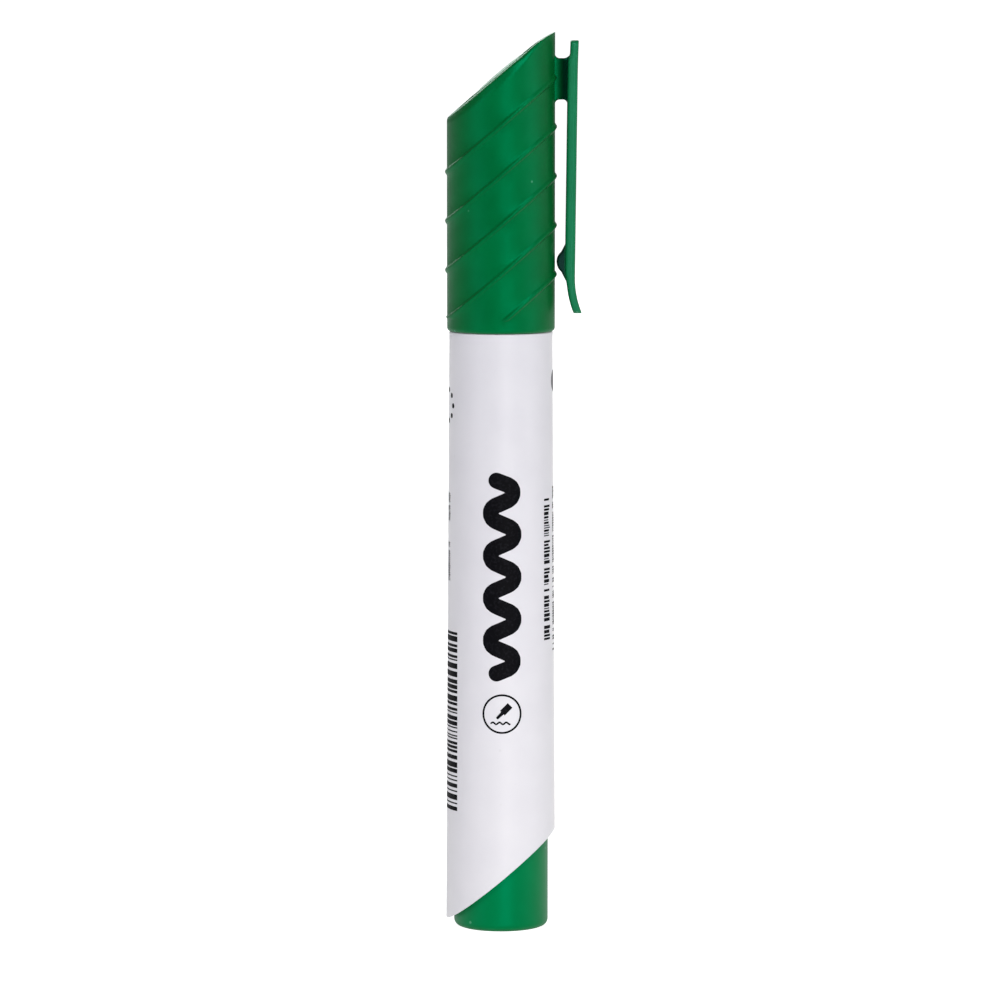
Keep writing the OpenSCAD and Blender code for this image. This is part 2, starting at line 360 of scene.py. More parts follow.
def barrel_section(angle):
    """Wall of the barrel as (radius, height, rounding) corners, with the slanted rear end."""
    lean = slope * math.cos(angle)
    outer = barrel_radius(rear_z) / (1 + lean * taper)
    return rounded([
        (neck_bore, neck_top, 0.15), (neck_r, neck_top, 0.3),
        (neck_r, bead_z + 0.8, 0.2), (bead_r, bead_z + 0.3, 0.3),
        (bead_r, bead_z - 0.3, 0.3), (neck_r, bead_z - 0.8, 0.2),
        (neck_r, joint_z, 0.15), (front_r, joint_z, 0.16),
        (outer, rear_z + lean * outer, 0.14), (bore_r, rear_z + lean * bore_r, 0.1),
        (bore_r, bore_z, 0.4), (bore_front_r, shelf_z, 0.2), (neck_bore, shelf_z, 0.15)],
        looped=True, steps=4)


def centring_rib(angle):
    """Two rings of one of the slim ribs that hold the ink reservoir clear of the bore."""
    out = Vector((math.cos(angle), math.sin(angle), 0))
    side = Vector((-math.sin(angle), math.cos(angle), 0))
    rings = []
    for z, outer in ((bore_z + 1, bore_r + rib_sunk), (shelf_z - 0.1, bore_front_r + rib_sunk)):
        corners = ((rib_inner_r, -0.4), (outer, -0.45), (outer, 0.45), (rib_inner_r, 0.4))
        rings.append([out * r + side * y + Vector((0, 0, z)) for r, y in corners])
    return rings, False


barrel = solid("barrel_tube", (turned(barrel_section, 256), True),
               *(centring_rib(math.radians(60 * k)) for k in range(6)))
white_plastic = moulded(
    "white_polypropylene",
    {"Tone": (0.762, 0.752, 0.798, 1), "Deep Tone": (0.742, 0.732, 0.780, 1),
     "Speck Tone": (0.6, 0.6, 0.62, 1), "Speck Amount": 0.25, "Roughness": 0.38, "Grain": 0.08},
    Specular_IOR_Level=0.5, Sheen_Weight=0.8, Sheen_Roughness=0.5)
fit(barrel, white_plastic, "barrel", "barrel_plastic", "barrel")


# ---------------------------------------------------------------------------------------------
# Print: screen-printed ink on the barrel, 0.02 mm thick, in plain shapes. A bold scribble and a
# ringed marker sign face the front; rows of small print, a dot, a dotted ring and bars go round.
# ---------------------------------------------------------------------------------------------

ink_proud, ink_sunk = 0.02, 0.04


def geometry_tree(name, inputs):
    """A Geometry Nodes tree with named inputs and one geometry in and out."""
    tree = bpy.data.node_groups.new(name, "GeometryNodeTree")
    tree.interface.new_socket("Geometry", in_out="INPUT", socket_type="NodeSocketGeometry")
    for label, kind, value in inputs:
        socket = tree.interface.new_socket(label, in_out="INPUT", socket_type="NodeSocket" + kind)
        if value is not None:
            socket.default_value = value
    tree.interface.new_socket("Geometry", in_out="OUTPUT", socket_type="NodeSocketGeometry")
    return tree, put(tree, "NodeGroupInput").outputs


def finish_tree(tree, geometry, material):
    """Ends a tree in Realize Instances and Set Material."""
    real = put(tree, "GeometryNodeRealizeInstances", {0: geometry}).outputs[0]
    painted = put(tree, "GeometryNodeSetMaterial", {"Geometry": real, "Material": material}).outputs[0]
    put(tree, "NodeGroupOutput", {0: painted})


def grow(piece, tree, values):
    """The piece's mesh after the tree has worked on it, as a plain mesh with no modifier."""
    modifier = piece.modifiers.new(tree.name, "NODES")
    modifier.node_group = tree
    for item in tree.interface.items_tree:
        if item.in_out == "INPUT" and item.name in values:
            modifier[item.identifier] = values[item.name]
    result = piece.evaluated_get(bpy.context.evaluated_depsgraph_get())
    mesh = bpy.data.meshes.new_from_object(result)
    piece.modifiers.remove(modifier)
    piece.data = mesh


def wrap_tree():
    """Wraps flat print round the tapered barrel: X runs round it from the front, Y is the depth."""
    tree, given = geometry_tree("Wrap On Barrel", [
        ("Front Radius", "Float", 0.008), ("Taper", "Float", 0.006), ("Joint Height", "Float", 0.094),
        ("Material", "Material", None)])
    flat_place = put(tree, "GeometryNodeInputPosition").outputs[0]
    at = put(tree, "ShaderNodeSeparateXYZ", {0: flat_place}).outputs
    below = calc(tree, "SUBTRACT", given["Joint Height"], at[2])
    radius = calc(tree, "MULTIPLY_ADD", below, given["Taper"], given["Front Radius"])
    turn = calc(tree, "DIVIDE", at[0], radius)
    out = calc(tree, "SUBTRACT", radius, at[1])
    x = calc(tree, "MULTIPLY", out, calc(tree, "SINE", turn))
    y = calc(tree, "MULTIPLY", calc(tree, "MULTIPLY", out, calc(tree, "COSINE", turn)), -1.0)
    place = put(tree, "ShaderNodeCombineXYZ", {0: x, 1: y, 2: at[2]}).outputs[0]
    laid = put(tree, "GeometryNodeSetPosition", {"Geometry": given["Geometry"], "Position": place})
    finish_tree(tree, laid.outputs[0], given["Material"])
    return tree


def row_tree():
    """A row of flat marks up the barrel, each with a chance width, gap and reach round it."""
    tree, given = geometry_tree("Row Of Marks", [
        ("Marks", "Int", 30), ("Row Start", "Float", 0.02), ("Row Length", "Float", 0.03),
        ("Base", "Float", 0.0), ("Shortest", "Float", 0.001), ("Longest", "Float", 0.001),
        ("Widest", "Float", 4.0), ("Widest Gap", "Float", 4.0), ("Word Gap", "Float", 0.0),
        ("Depth", "Float", 0.00006), ("Seed", "Int", 1), ("Material", "Material", None)])

    def chance(low, high, step):
        """A random number for each mark, the same in every run."""
        seed = calc(tree, "ADD", given["Seed"], float(step))
        drawn = put(tree, "FunctionNodeRandomValue", {2: low, 3: high, 8: seed}, data_type="FLOAT")
        return drawn.outputs[1]

    width = calc(tree, "FLOOR", chance(1.0, given["Widest"], 0))
    gap = calc(tree, "FLOOR", chance(1.0, given["Widest Gap"], 1))
    word_end = calc(tree, "GREATER_THAN", chance(0.0, 1.0, 2), 0.82)
    space = calc(tree, "MULTIPLY", word_end, given["Word Gap"])
    step = calc(tree, "ADD", width, calc(tree, "ADD", gap, space))
    sums = put(tree, "GeometryNodeAccumulateField", {0: step}, data_type="FLOAT").outputs
    module = calc(tree, "DIVIDE", given["Row Length"], sums["Total"])
    middle = calc(tree, "ADD", sums["Trailing"], calc(tree, "MULTIPLY", width, 0.5))
    reach = chance(given["Shortest"], given["Longest"], 3)
    x = calc(tree, "MULTIPLY_ADD", reach, 0.5, given["Base"])
    y = calc(tree, "MULTIPLY", given["Depth"], 0.2)
    z = calc(tree, "MULTIPLY_ADD", middle, module, given["Row Start"])
    line = put(tree, "GeometryNodeMeshLine", {"Count": given["Marks"], "Offset": (0, 0, 0)}).outputs[0]
    place = put(tree, "ShaderNodeCombineXYZ", {0: x, 1: y, 2: z}).outputs[0]
    spots = put(tree, "GeometryNodeSetPosition", {"Geometry": line, "Position": place}).outputs[0]
    block = put(tree, "GeometryNodeMeshCube", {"Size": (1, 1, 1), "Vertices X": 24}).outputs[0]
    long = calc(tree, "MULTIPLY", width, module)
    size = put(tree, "ShaderNodeCombineXYZ", {0: reach, 1: given["Depth"], 2: long}).outputs[0]
    marks = put(tree, "GeometryNodeInstanceOnPoints", {"Points": spots, "Instance": block, "Scale": size})
    finish_tree(tree, marks.outputs[0], given["Material"])
    return tree


def resampled(points, step=0.3):
    """The same path with a point at least every step, so that it can bend round the barrel."""
    path = [Vector(points[0])]
    for point in points[1:]:
        leg = Vector(point) - path[-1]
        pieces = max(1, math.ceil(leg.length / step))
        path += [path[-1] + leg / pieces * (k + 1) for k in range(pieces)]
    return path


def stroke(points, half, across=6, ends="round", closed=False):
    """Rings of a flat pen stroke along (x, z) points. half is its half-width, or one for each end."""
    path = resampled(points)
    wide = half if isinstance(half, tuple) else (half, half)
    round_ends = ends == "round" and not closed
    end_rings = 6
    bend = math.pi / 2 / end_rings
    if round_ends:
        lead = (path[0] - path[1]).normalized() * wide[0]
        tail = (path[-1] - path[-2]).normalized() * wide[1]
        start = [path[0] + lead * math.cos(k * bend) for k in range(end_rings)]
        finish = [path[-1] + tail * math.sin(k * bend) for k in range(1, end_rings + 1)]
        path = start + path + finish
    rings = []
    last = len(path) - 1
    for i, spot in enumerate(path):
        before = path[i - 1] if i or closed else path[0]
        after = path[(i + 1) % len(path)] if i < last or closed else path[last]
        along = (after - before).normalized()
        side = Vector((-along.y, along.x))
        reach = wide[0] + (wide[1] - wide[0]) * i / last
        if round_ends and i < end_rings:
            reach *= math.sin(max(i, 0.15) * bend)
        if round_ends and i > last - end_rings:
            reach *= math.sin(max(last - i, 0.15) * bend)
        face = [spot + side * reach * (2 * k / across - 1) for k in range(across + 1)]
        rings.append([(p.x, -ink_proud, p.y) for p in face] + [(p.x, ink_sunk, p.y) for p in face[::-1]])
    return rings, closed


def disc(x, z, radius):
    """Rings of a flat round dot."""
    return stroke([(x, z - radius * 0.02), (x, z + radius * 0.02)], radius)


def ink(name, tone, thin_tone):
    """Screen ink: dense, with a fine uneven film where the mesh of the screen let less through."""
    material = bpy.data.materials.new(name)
    material.use_nodes = True
    tree = material.node_tree
    film = noise(tree, put(tree, "ShaderNodeTexCoord").outputs["Object"], 2600.0, 3.0)
    colour = blended(tree, ramp(tree, film, 0.45, 0.75, 0.0, 1.0), tone, thin_tone)
    rough = calc(tree, "MULTIPLY_ADD", film, 0.2, 0.4)
    bump = put(tree, "ShaderNodeBump", {"Height": film, "Strength": 0.1, "Distance": 0.01 * MM})
    shader = surface(tree, colour, rough, bump.outputs[0])
    shader.inputs["Specular IOR Level"].default_value = 0.06
    return material


black_ink = ink("black_screen_ink", (0.0015, 0.0015, 0.003, 1), (0.008, 0.008, 0.011, 1))
grey_ink = ink("grey_screen_ink", (0.16, 0.16, 0.17, 1), (0.24, 0.24, 0.25, 1))
wrap = wrap_tree()
row = row_tree()
barrel_form = {"Front Radius": front_r * MM, "Taper": taper, "Joint Height": joint_z * MM}


def printed(piece, material):
    """Wraps a flat piece round the barrel and fixes it there."""
    grow(piece, wrap, {**barrel_form, "Material": material})
    piece.data.polygons.foreach_set("use_smooth", [False] * len(piece.data.polygons))
    piece.data.materials.clear()
    piece.data.materials.append(material)
    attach(piece, "barrel")


def on_circle(x, z, radius, degrees):
    """A point of a circle."""
    angle = math.radians(degrees)
    return x + radius * math.cos(angle), z + radius * math.sin(angle)


scribble_x, scribble_reach, scribble_step = 0.2, 3.8, 3.3
scribble_end_x = scribble_x - 0.9
scribble_top, scribble_foot = 71.0, 40.95
bend_top, bends, bend_r = 69.2, 9, 1.3
zigzag = [(scribble_end_x, scribble_top, 0)]
for k in range(bends):
    side = 1 - 2 * (k % 2)
    zigzag.append((scribble_x + scribble_reach * side, bend_top - k * scribble_step, bend_r))
zigzag.append((scribble_end_x, scribble_foot, 0))
printed(solid("print_scribble", stroke(rounded(zigzag), 1.25, across=8)), black_ink)

# The sign is a marker, drawn as a body and a nib, that leaves a wavy trail inside a ring.
sign_x, sign_z, sign_r = 0.17, 34.6, 2.95
ring_line = [on_circle(sign_x, sign_z, sign_r, 6 * k) for k in range(60)]
trail = [(sign_x - 1.7 + 0.1 * k, sign_z - 1.45 + 0.16 * math.sin(0.6 * k)) for k in range(30)]
printed(solid(
    "print_sign", stroke(ring_line, 0.15, across=2, closed=True),
    stroke([(sign_x + 1.25, sign_z + 1.35), (sign_x + 0.05, sign_z + 0.15)], 0.52, ends="flat"),
    stroke([(sign_x - 0.05, sign_z + 0.05), (sign_x - 0.75, sign_z - 0.65)], (0.36, 0.12)),
    stroke(trail, 0.13, across=2)), black_ink)

printed(solid("print_dot", disc(12.05, 86, 1.65)), grey_ink)
printed(solid("print_dotted_ring", *(
    disc(*on_circle(-11.8, 82.2, 2.45, 40 * k), 0.4) for k in range(9))), black_ink)

# Each row: name, marks, start, length, base round the barrel, shortest and longest mark, widest mark,
# widest gap, gap between words, seed. Widths and gaps are whole units, rounded down from a draw.
for name, marks, start, length, base, shortest, longest, widest, gap, space, seed in (
        ("print_bars", 34, 18.8, 28.3, -19.85, 11.9, 11.9, 4.99, 2.99, 0.0, 4),
        ("print_line_1", 36, 45.7, 22.3, 7.8, 1.3, 1.9, 3.99, 1.0, 3.0, 11),
        ("print_line_2", 60, 43.8, 25.8, 10.9, 1.1, 1.6, 2.99, 1.0, 4.0, 12),
        ("print_line_3", 60, 45.2, 24.4, 13.7, 0.8, 1.2, 2.99, 1.99, 5.0, 13),
        ("print_line_4", 36, 55.0, 14.6, 16.2, 0.8, 1.2, 2.99, 1.99, 5.0, 14),
        ("print_line_5", 14, 64.2, 4.4, -11.6, 0.9, 1.2, 2.99, 1.99, 4.0, 15),
        ("print_line_6", 18, 54.8, 6.1, -11.6, 0.9, 1.2, 2.99, 1.99, 4.0, 16),
        ("print_line_7", 46, 52.0, 16.6, -13.6, 0.6, 0.9, 2.99, 1.99, 4.0, 17),
        ("print_line_8", 46, 52.4, 16.2, -15.6, 0.6, 0.9, 2.99, 1.99, 4.0, 18)):
    piece = bpy.data.objects.new(name, bpy.data.meshes.new(name))
    scene.collection.objects.link(piece)
    grow(piece, row, {
        "Marks": marks, "Row Start": start * MM, "Row Length": length * MM, "Base": base * MM,
        "Shortest": shortest * MM, "Longest": longest * MM, "Widest": widest, "Widest Gap": gap,
        "Word Gap": space, "Depth": (ink_proud + ink_sunk) * MM, "Seed": seed, "Material": black_ink})
    printed(piece, black_ink)


# ---------------------------------------------------------------------------------------------
# End plug: a green polypropylene cup pressed into the rear of the barrel, which it closes. It is
# narrower than the barrel, and its rounded end reaches past the slanted cut.
# ---------------------------------------------------------------------------------------------

plug_r, plug_inner_r = 7.38, 6.0
plug_floor = 1.8
plug_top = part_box("end_plug")[1].z / MM
ridge_r, ridge_z = plug_r + 0.14, 19.55
dimple_r, dimple_rise = 1.6, 0.25
plug_section = rounded([
    (0, dimple_rise, 0), (dimple_r, dimple_rise, 0.15), (dimple_r + 0.3, 0, 0.15), (plug_r, 0, 1.0),
    (plug_r, ridge_z - 0.65, 0.2), (ridge_r, ridge_z - 0.25, 0.3),
    (ridge_r, ridge_z + 0.25, 0.3), (plug_r, ridge_z + 0.65, 0.2),
    (plug_r, plug_top, 0.4), (plug_inner_r, plug_top, 0.2),
    (plug_inner_r, plug_floor, 0.5), (0, plug_floor, 0)], steps=6)
plug = solid("end_plug_cup", (turned(lambda angle: plug_section), False))
plug_green = moulded(
    "plug_green_polypropylene",
    {"Tone": (0.0, 0.145, 0.029, 1), "Deep Tone": (0.0, 0.131, 0.024, 1),
     "Speck Tone": (0.15, 0.4, 0.25, 1), "Speck Amount": 0.5, "Roughness": 0.4, "Grain": 0.12},
    Specular_IOR_Level=0.9, Specular_Tint=(0.0, 1.0, 0.6, 1))
fit(plug, plug_green, "barrel", "plug_plastic", "end_plug")


# ---------------------------------------------------------------------------------------------
# Ink reservoir and its wrap: a rod of bundled polyester fibre soaked with green ink, rolled in a
# thin clear film whose long edges overlap. It stands on the cross in the end plug.
# ---------------------------------------------------------------------------------------------

rod_low, rod_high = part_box("ink_reservoir")
film_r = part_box("reservoir_wrap")[1].y / MM
rod_r = rod_high.y / MM
rod_base, rod_top = rod_low.z / MM, rod_high.z / MM
nib_low, nib_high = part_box("nib")
nib_r = nib_high.y / MM
nib_tail = nib_low.z / MM


rod_side = rod_r - 0.02
crimped = 3
film_inner_r = film_r - 0.13
film_outer_r = film_r - 0.06


def smooth(share):
    """Eases a share from 0 to 1, held at both ends."""
    held = max(0.0, min(1.0, share))
    return held * held * (3 - 2 * held)


def rod_section(angle):
    """Half outline of the rod, crimped at both ends, with the hole that the nib stands in."""
    crimp = 0.02 * math.cos(14 * angle)
    return rounded([
        (0, rod_base, 0), (rod_side + crimp, rod_base, 0.5), (rod_side, rod_base + crimped, 0),
        (rod_side, rod_top - crimped, 0), (rod_side + crimp, rod_top, 0.5),
        (nib_r, rod_top, 0.15), (nib_r, nib_tail, 0), (0, nib_tail, 0)])


def film_section(angle):
    """Outline of the film's wall, thicker on one side where its long edges overlap."""
    outer = film_outer_r + 0.06 * smooth(1 - abs(angle - math.pi) / 0.35)
    return [(film_inner_r, rod_base), (outer, rod_base), (outer, rod_top), (film_inner_r, rod_top)]


def fibre(name, dark, light, fineness):
    """Bonded fibre: streaks along the rod, soaked unevenly, with a matt fuzzy surface."""
    material = bpy.data.materials.new(name)
    material.use_nodes = True
    tree = material.node_tree
    place = put(tree, "ShaderNodeTexCoord").outputs["Object"]
    along = put(tree, "ShaderNodeMapping", {"Vector": place, "Scale": (1.0, 1.0, 0.06)}).outputs[0]
    strands = noise(tree, along, fineness, 4.0)
    soak = calc(tree, "MULTIPLY_ADD", noise(tree, place, 350.0, 2.0), 0.4, strands)
    colour = blended(tree, ramp(tree, soak, 0.45, 0.9, 0.0, 1.0), dark, light)
    rough = calc(tree, "MULTIPLY_ADD", strands, 0.3, 0.55)
    bump = put(tree, "ShaderNodeBump", {"Height": strands, "Strength": 0.35, "Distance": 0.05 * MM})
    surface(tree, colour, rough, bump.outputs[0])
    return material


rod = solid("ink_rod", (turned(rod_section, 112), False))
fit(rod, fibre("ink_soaked_rod", (0.01, 0.12, 0.06, 1), (0.06, 0.30, 0.16, 1), 2400.0),
    "barrel", "reservoir_fibre", "ink_reservoir")
film = solid("rod_film", (turned(film_section, 128), True))
clear_film = moulded(
    "clear_film",
    {"Tone": (0.86, 0.92, 0.9, 1), "Deep Tone": (0.8, 0.88, 0.85, 1),
     "Speck Tone": (1, 1, 1, 1), "Speck Amount": 0.1, "Roughness": 0.2, "Grain": 0.3},
    Transmission_Weight=0.85, IOR=1.49)
fit(film, clear_film, "barrel", "wrap_film", "reservoir_wrap")


# ---------------------------------------------------------------------------------------------
# Nib holder and nib: the holder is a white polypropylene moulding pressed into the barrel's neck.
# Its nozzle grips the nib, a rod of bonded acrylic fibre ground to a round tip and dark with ink.
# ---------------------------------------------------------------------------------------------

holder_low, holder_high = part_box("nib_holder")
shank_z, nozzle_top = holder_low.z / MM, holder_high.z / MM
nozzle_r = 4.4
grip_r = nib_r + 1
shank_r = neck_bore - 0.02
shank_inner_r = neck_bore - 1
collar_r = neck_r - 0.2
collar_top = neck_top + 1.2
web_z = neck_top - 1.4
holder_section = rounded([
    (nib_r, shank_z + 4, 0.1), (grip_r, shank_z + 4, 0.1), (grip_r, web_z, 0.3),
    (shank_inner_r, web_z, 0.3), (shank_inner_r, shank_z, 0.1), (neck_bore - 0.3, shank_z, 0.1),
    (shank_r, shank_z + 0.6, 0.1), (shank_r, neck_top, 0.05), (collar_r, neck_top, 0.1),
    (collar_r, collar_top - 0.3, 0.25), (collar_r - 0.4, collar_top, 0.3), (nozzle_r + 1, collar_top, 0.5),
    (nozzle_r, neck_top + 6, 1.2), (nozzle_r, nozzle_top - 0.8, 0.5), (nozzle_r - 0.8, nozzle_top, 0.3),
    (nib_r + 0.25, nozzle_top, 0.15), (nib_r, nozzle_top - 0.35, 0.1)], looped=True, steps=4)
holder = solid("nib_holder_moulding", (turned(lambda angle: holder_section), True))
holder_white = moulded(
    "holder_polypropylene",
    {"Tone": (0.82, 0.82, 0.83, 1), "Deep Tone": (0.78, 0.78, 0.79, 1),
     "Speck Tone": (0.05, 0.35, 0.18, 1), "Speck Amount": 0.5, "Roughness": 0.36, "Grain": 0.08})
fit(holder, holder_white, "barrel", "holder_plastic", "nib_holder")

nib_top = nib_high.z / MM
nib_section = rounded([
    (0, nib_tail, 0), (nib_r, nib_tail, 0.3), (nib_r, nib_top - 2.6, 1.2), (1.72, nib_top - 0.9, 1.0),
    (0.95, nib_top, 0.8), (0, nib_top, 0)], steps=6)
nib = solid("bullet_nib", (turned(lambda angle: nib_section, 96), False))
fit(nib, fibre("inked_nib_fibre", (0.004, 0.05, 0.025, 1), (0.02, 0.17, 0.085, 1), 3600.0),
    "barrel", "nib_fibre", "nib")


# ---------------------------------------------------------------------------------------------
# Inner cap: a soft, milky polyethylene cup pressed into the cap's head. Its thick lip has a lead-in
# and closes round the nozzle, so that the nib doesn't dry out.
# ---------------------------------------------------------------------------------------------

liner_low, liner_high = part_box("inner_cap")
liner_r = liner_high.y / MM
liner_z, liner_top = liner_low.z / MM, liner_high.z / MM
liner_wall = 1.2
liner_inner_r = liner_r - liner_wall
seal_r = nozzle_r + 0.05
seal_low, seal_high = liner_z + 0.8, liner_z + 2.4
liner_section = rounded([
    (0, liner_top, 0), (liner_r, liner_top, 0.6), (liner_r, liner_z, 0.25), (seal_r + 0.8, liner_z, 0.15),
    (seal_r, seal_low, 0.3), (seal_r, seal_high, 0.3), (liner_inner_r, seal_high, 0.3),
    (liner_inner_r, liner_top - liner_wall, 0.6), (0, liner_top - liner_wall, 0)])
liner = solid("inner_cap_liner", (turned(lambda angle: liner_section), False))
milky = moulded(
    "milky_polyethylene",
    {"Tone": (0.72, 0.76, 0.72, 1), "Deep Tone": (0.66, 0.71, 0.67, 1),
     "Speck Tone": (0.1, 0.4, 0.2, 1), "Speck Amount": 0.4, "Roughness": 0.5, "Grain": 0.1})
fit(liner, milky, "cap", "liner_plastic", "inner_cap")


# ---------------------------------------------------------------------------------------------
# Cap: one deep green polypropylene moulding with a slanted top. A shallow pan with a round boss
# lies in the top, five thin ribs run round the wall parallel to it, and a short bridge near the
# high side carries the pocket clip.
# ---------------------------------------------------------------------------------------------

cap_low, cap_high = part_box("cap_shell")
rib_height = 0.3
rib_half = 0.68
cap_r = cap_high.y / MM - rib_height
rib_r = cap_r + rib_height
cap_z = cap_low.z / MM
cap_bore = cap_r - 1.1
slant_rise = math.hypot(1, slope)
roll_x, roll = 4.4, 0.05
top_z = cap_high.z / MM - slope * cap_r + roll * (cap_r - roll_x) ** 2
pan_depth = 0.3
pan_r = cap_r - 1.3
boss_r = 5.15
boss_shift = 0.345
boss_rise = 0.05
dome_rise = 0.22
ceiling = -(1.2 + pan_depth)
band_z = cap_z + 1.9
rib_count = 5
rib_pitch = 7.63
top_rib_z = top_z - 8.05


def boss_reach(angle, rise):
    """Distance from the axis to the boss's edge at an angle; the boss stands square to the slant."""
    middle = -boss_shift - rise / slant_rise * slope
    across, deep = boss_r / slant_rise, boss_r
    square = (math.cos(angle) / across) ** 2 + (math.sin(angle) / deep) ** 2
    pull = middle * math.cos(angle) / across ** 2
    return (pull + math.sqrt(pull * pull - square * ((middle / across) ** 2 - 1))) / square


def cap_section(angle):
    """Half outline of the cap, from the middle of its slanted top, down the wall and up the bore."""
    along, aside = math.cos(angle), abs(math.sin(angle))
    lean = slope * along

    def slant(r, rise=0.0, radius=0.0):
        """A point of the slanted top, which rolls over a little towards the tip."""
        rolled = roll * max(0.0, r * along - roll_x) ** 2
        return (r, top_z + rise * slant_rise + lean * r - rolled, radius)

    # The rim is rounded off all the way round, and most at the sides, but is sharp at the tip.
    pan_edge = pan_r - 1.0 * max(0.0, along) ** 3
    past_tip = smooth(1.5 * (1 - max(0.0, along)))
    edge_in = 0.01 + (0.15 + 0.45 * aside) * past_tip
    edge_down = 0.02 + (0.25 + 1.35 * aside) * past_tip
    edge_r = 0.2 + 1.3 * past_tip

    boss_edge = boss_reach(angle, boss_rise)
    dome = [slant(boss_edge * k / 8, boss_rise + dome_rise * (1 - (k / 8) ** 2))[:2] for k in range(8)]
    pan = rounded([
        slant(boss_edge * 7 / 8, boss_rise + dome_rise * 0.23), slant(boss_edge, boss_rise, 0.15),
        slant(boss_reach(angle, -pan_depth), -pan_depth, 0.12), slant(pan_edge, -pan_depth, 0.12),
        slant(pan_edge, 0, 0.15)], steps=4)[:-1]
    lip = rounded([slant(pan_edge, -pan_depth), slant(pan_edge, 0, 0.15), slant(cap_r)], steps=4)[1:-1]
    rim = rounded([
        slant(pan_edge), slant(cap_r - edge_in, 0, edge_r),
        (cap_r, slant(cap_r)[1] - edge_down, edge_r + 1), (cap_r, cap_z, 0)], steps=6)[1:-1]

    # The wall has a close set of rows where each rib will be raised.
    rows = [top_z - 2.1, top_z - 3.6, top_z - 5.6]
    for rib in range(rib_count):
        middle = top_rib_z - rib * rib_pitch
        rows += [middle + rib_half * (1 - k / 6) for k in range(13)]
        rows += [middle - rib_pitch / 3, middle - rib_pitch * 2 / 3]
    rows.append(band_z - slope * rib_r)
    wall = [(cap_r, max(band_z, row + lean * rib_r)) for row in rows]
    inside = rounded([
        (cap_r, band_z, 0), (cap_r, cap_z, 0.55), (cap_bore + 0.3, cap_z, 0.08),
        (cap_bore, cap_z + 0.6, 0.1), (cap_bore, liner_z, 0), (liner_r, liner_z, 0),
        slant(liner_r, ceiling, 0.3), slant(0, ceiling)])
    return dome + pan + lip + rim + wall + inside


def bridge_rings(half_y, low, high, flare, wall_x, bar_at, steps=16):
    """Rings of the block between the cap's wall and the bar. It flares up and down at both ends."""
    sunk = 0.12
    narrowing = 0.65
    corner = 0.35
    rings = []
    for i in range(steps + 1):
        share = (1 + 2 * sunk) * i / steps - sunk
        spread = 0.0
        for near in (share, 1 - share):
            gap = max(0.0, near) * 2.0
            if gap < flare:
                spread += flare - math.sqrt(flare ** 2 - (flare - gap) ** 2)
        half = half_y * (1 - narrowing * smooth(share))
        bottom, top = low - spread, high + spread
        block = [(-half, bottom, corner), (half, bottom, corner), (half, top, corner), (-half, top, corner)]
        ring = []
        for y, z in rounded(block, looped=True):
            wall = math.sqrt(wall_x ** 2 - y ** 2)
            ring.append((wall + share * (bar_at(z) - wall), y, z))
        rings.append(ring)
    return rings


# The bridge ends at the clip's bar, so the bar's two faces are worked out here.
clip_low, clip_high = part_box("pocket_clip")
clip_top = clip_high.z / MM
clip_tip = clip_low.z / MM
flare_z = clip_tip + 5.8
flare_r = 15
bar_outer_x, bar_lean = 11.49, 0.0125
bar_depth = 1.56
kick_low, kick_length, kick = 132.6, 6.1, 0.095
thin_above, thin_below = 135.7, 103.4


def clip_outer(z):
    """Outer face of the clip's bar: a slight lean, a flare at the tip, a small kick at the top."""
    x = bar_outer_x + (z - flare_z) * bar_lean
    if z < flare_z:
        x += flare_r - math.sqrt(flare_r ** 2 - (flare_z - z) ** 2)
    return x + kick * max(0.0, (z - kick_low) / kick_length) ** 2


def clip_inner(z):
    """Inner face: the bar is thinner above its bridge and towards the tip."""
    thinned = 0.3 * smooth(z - thin_above) + 0.26 * smooth((thin_below - z) / 3)
    return clip_outer(z) - bar_depth + thinned


bar_x = clip_inner(clip_top) * MM
bridge_low, bridge_high = clip_top - 9.15, clip_top - 2.75
bridge = bridge_rings(1.2, bridge_low, bridge_high, 0.7, cap_r, clip_inner)


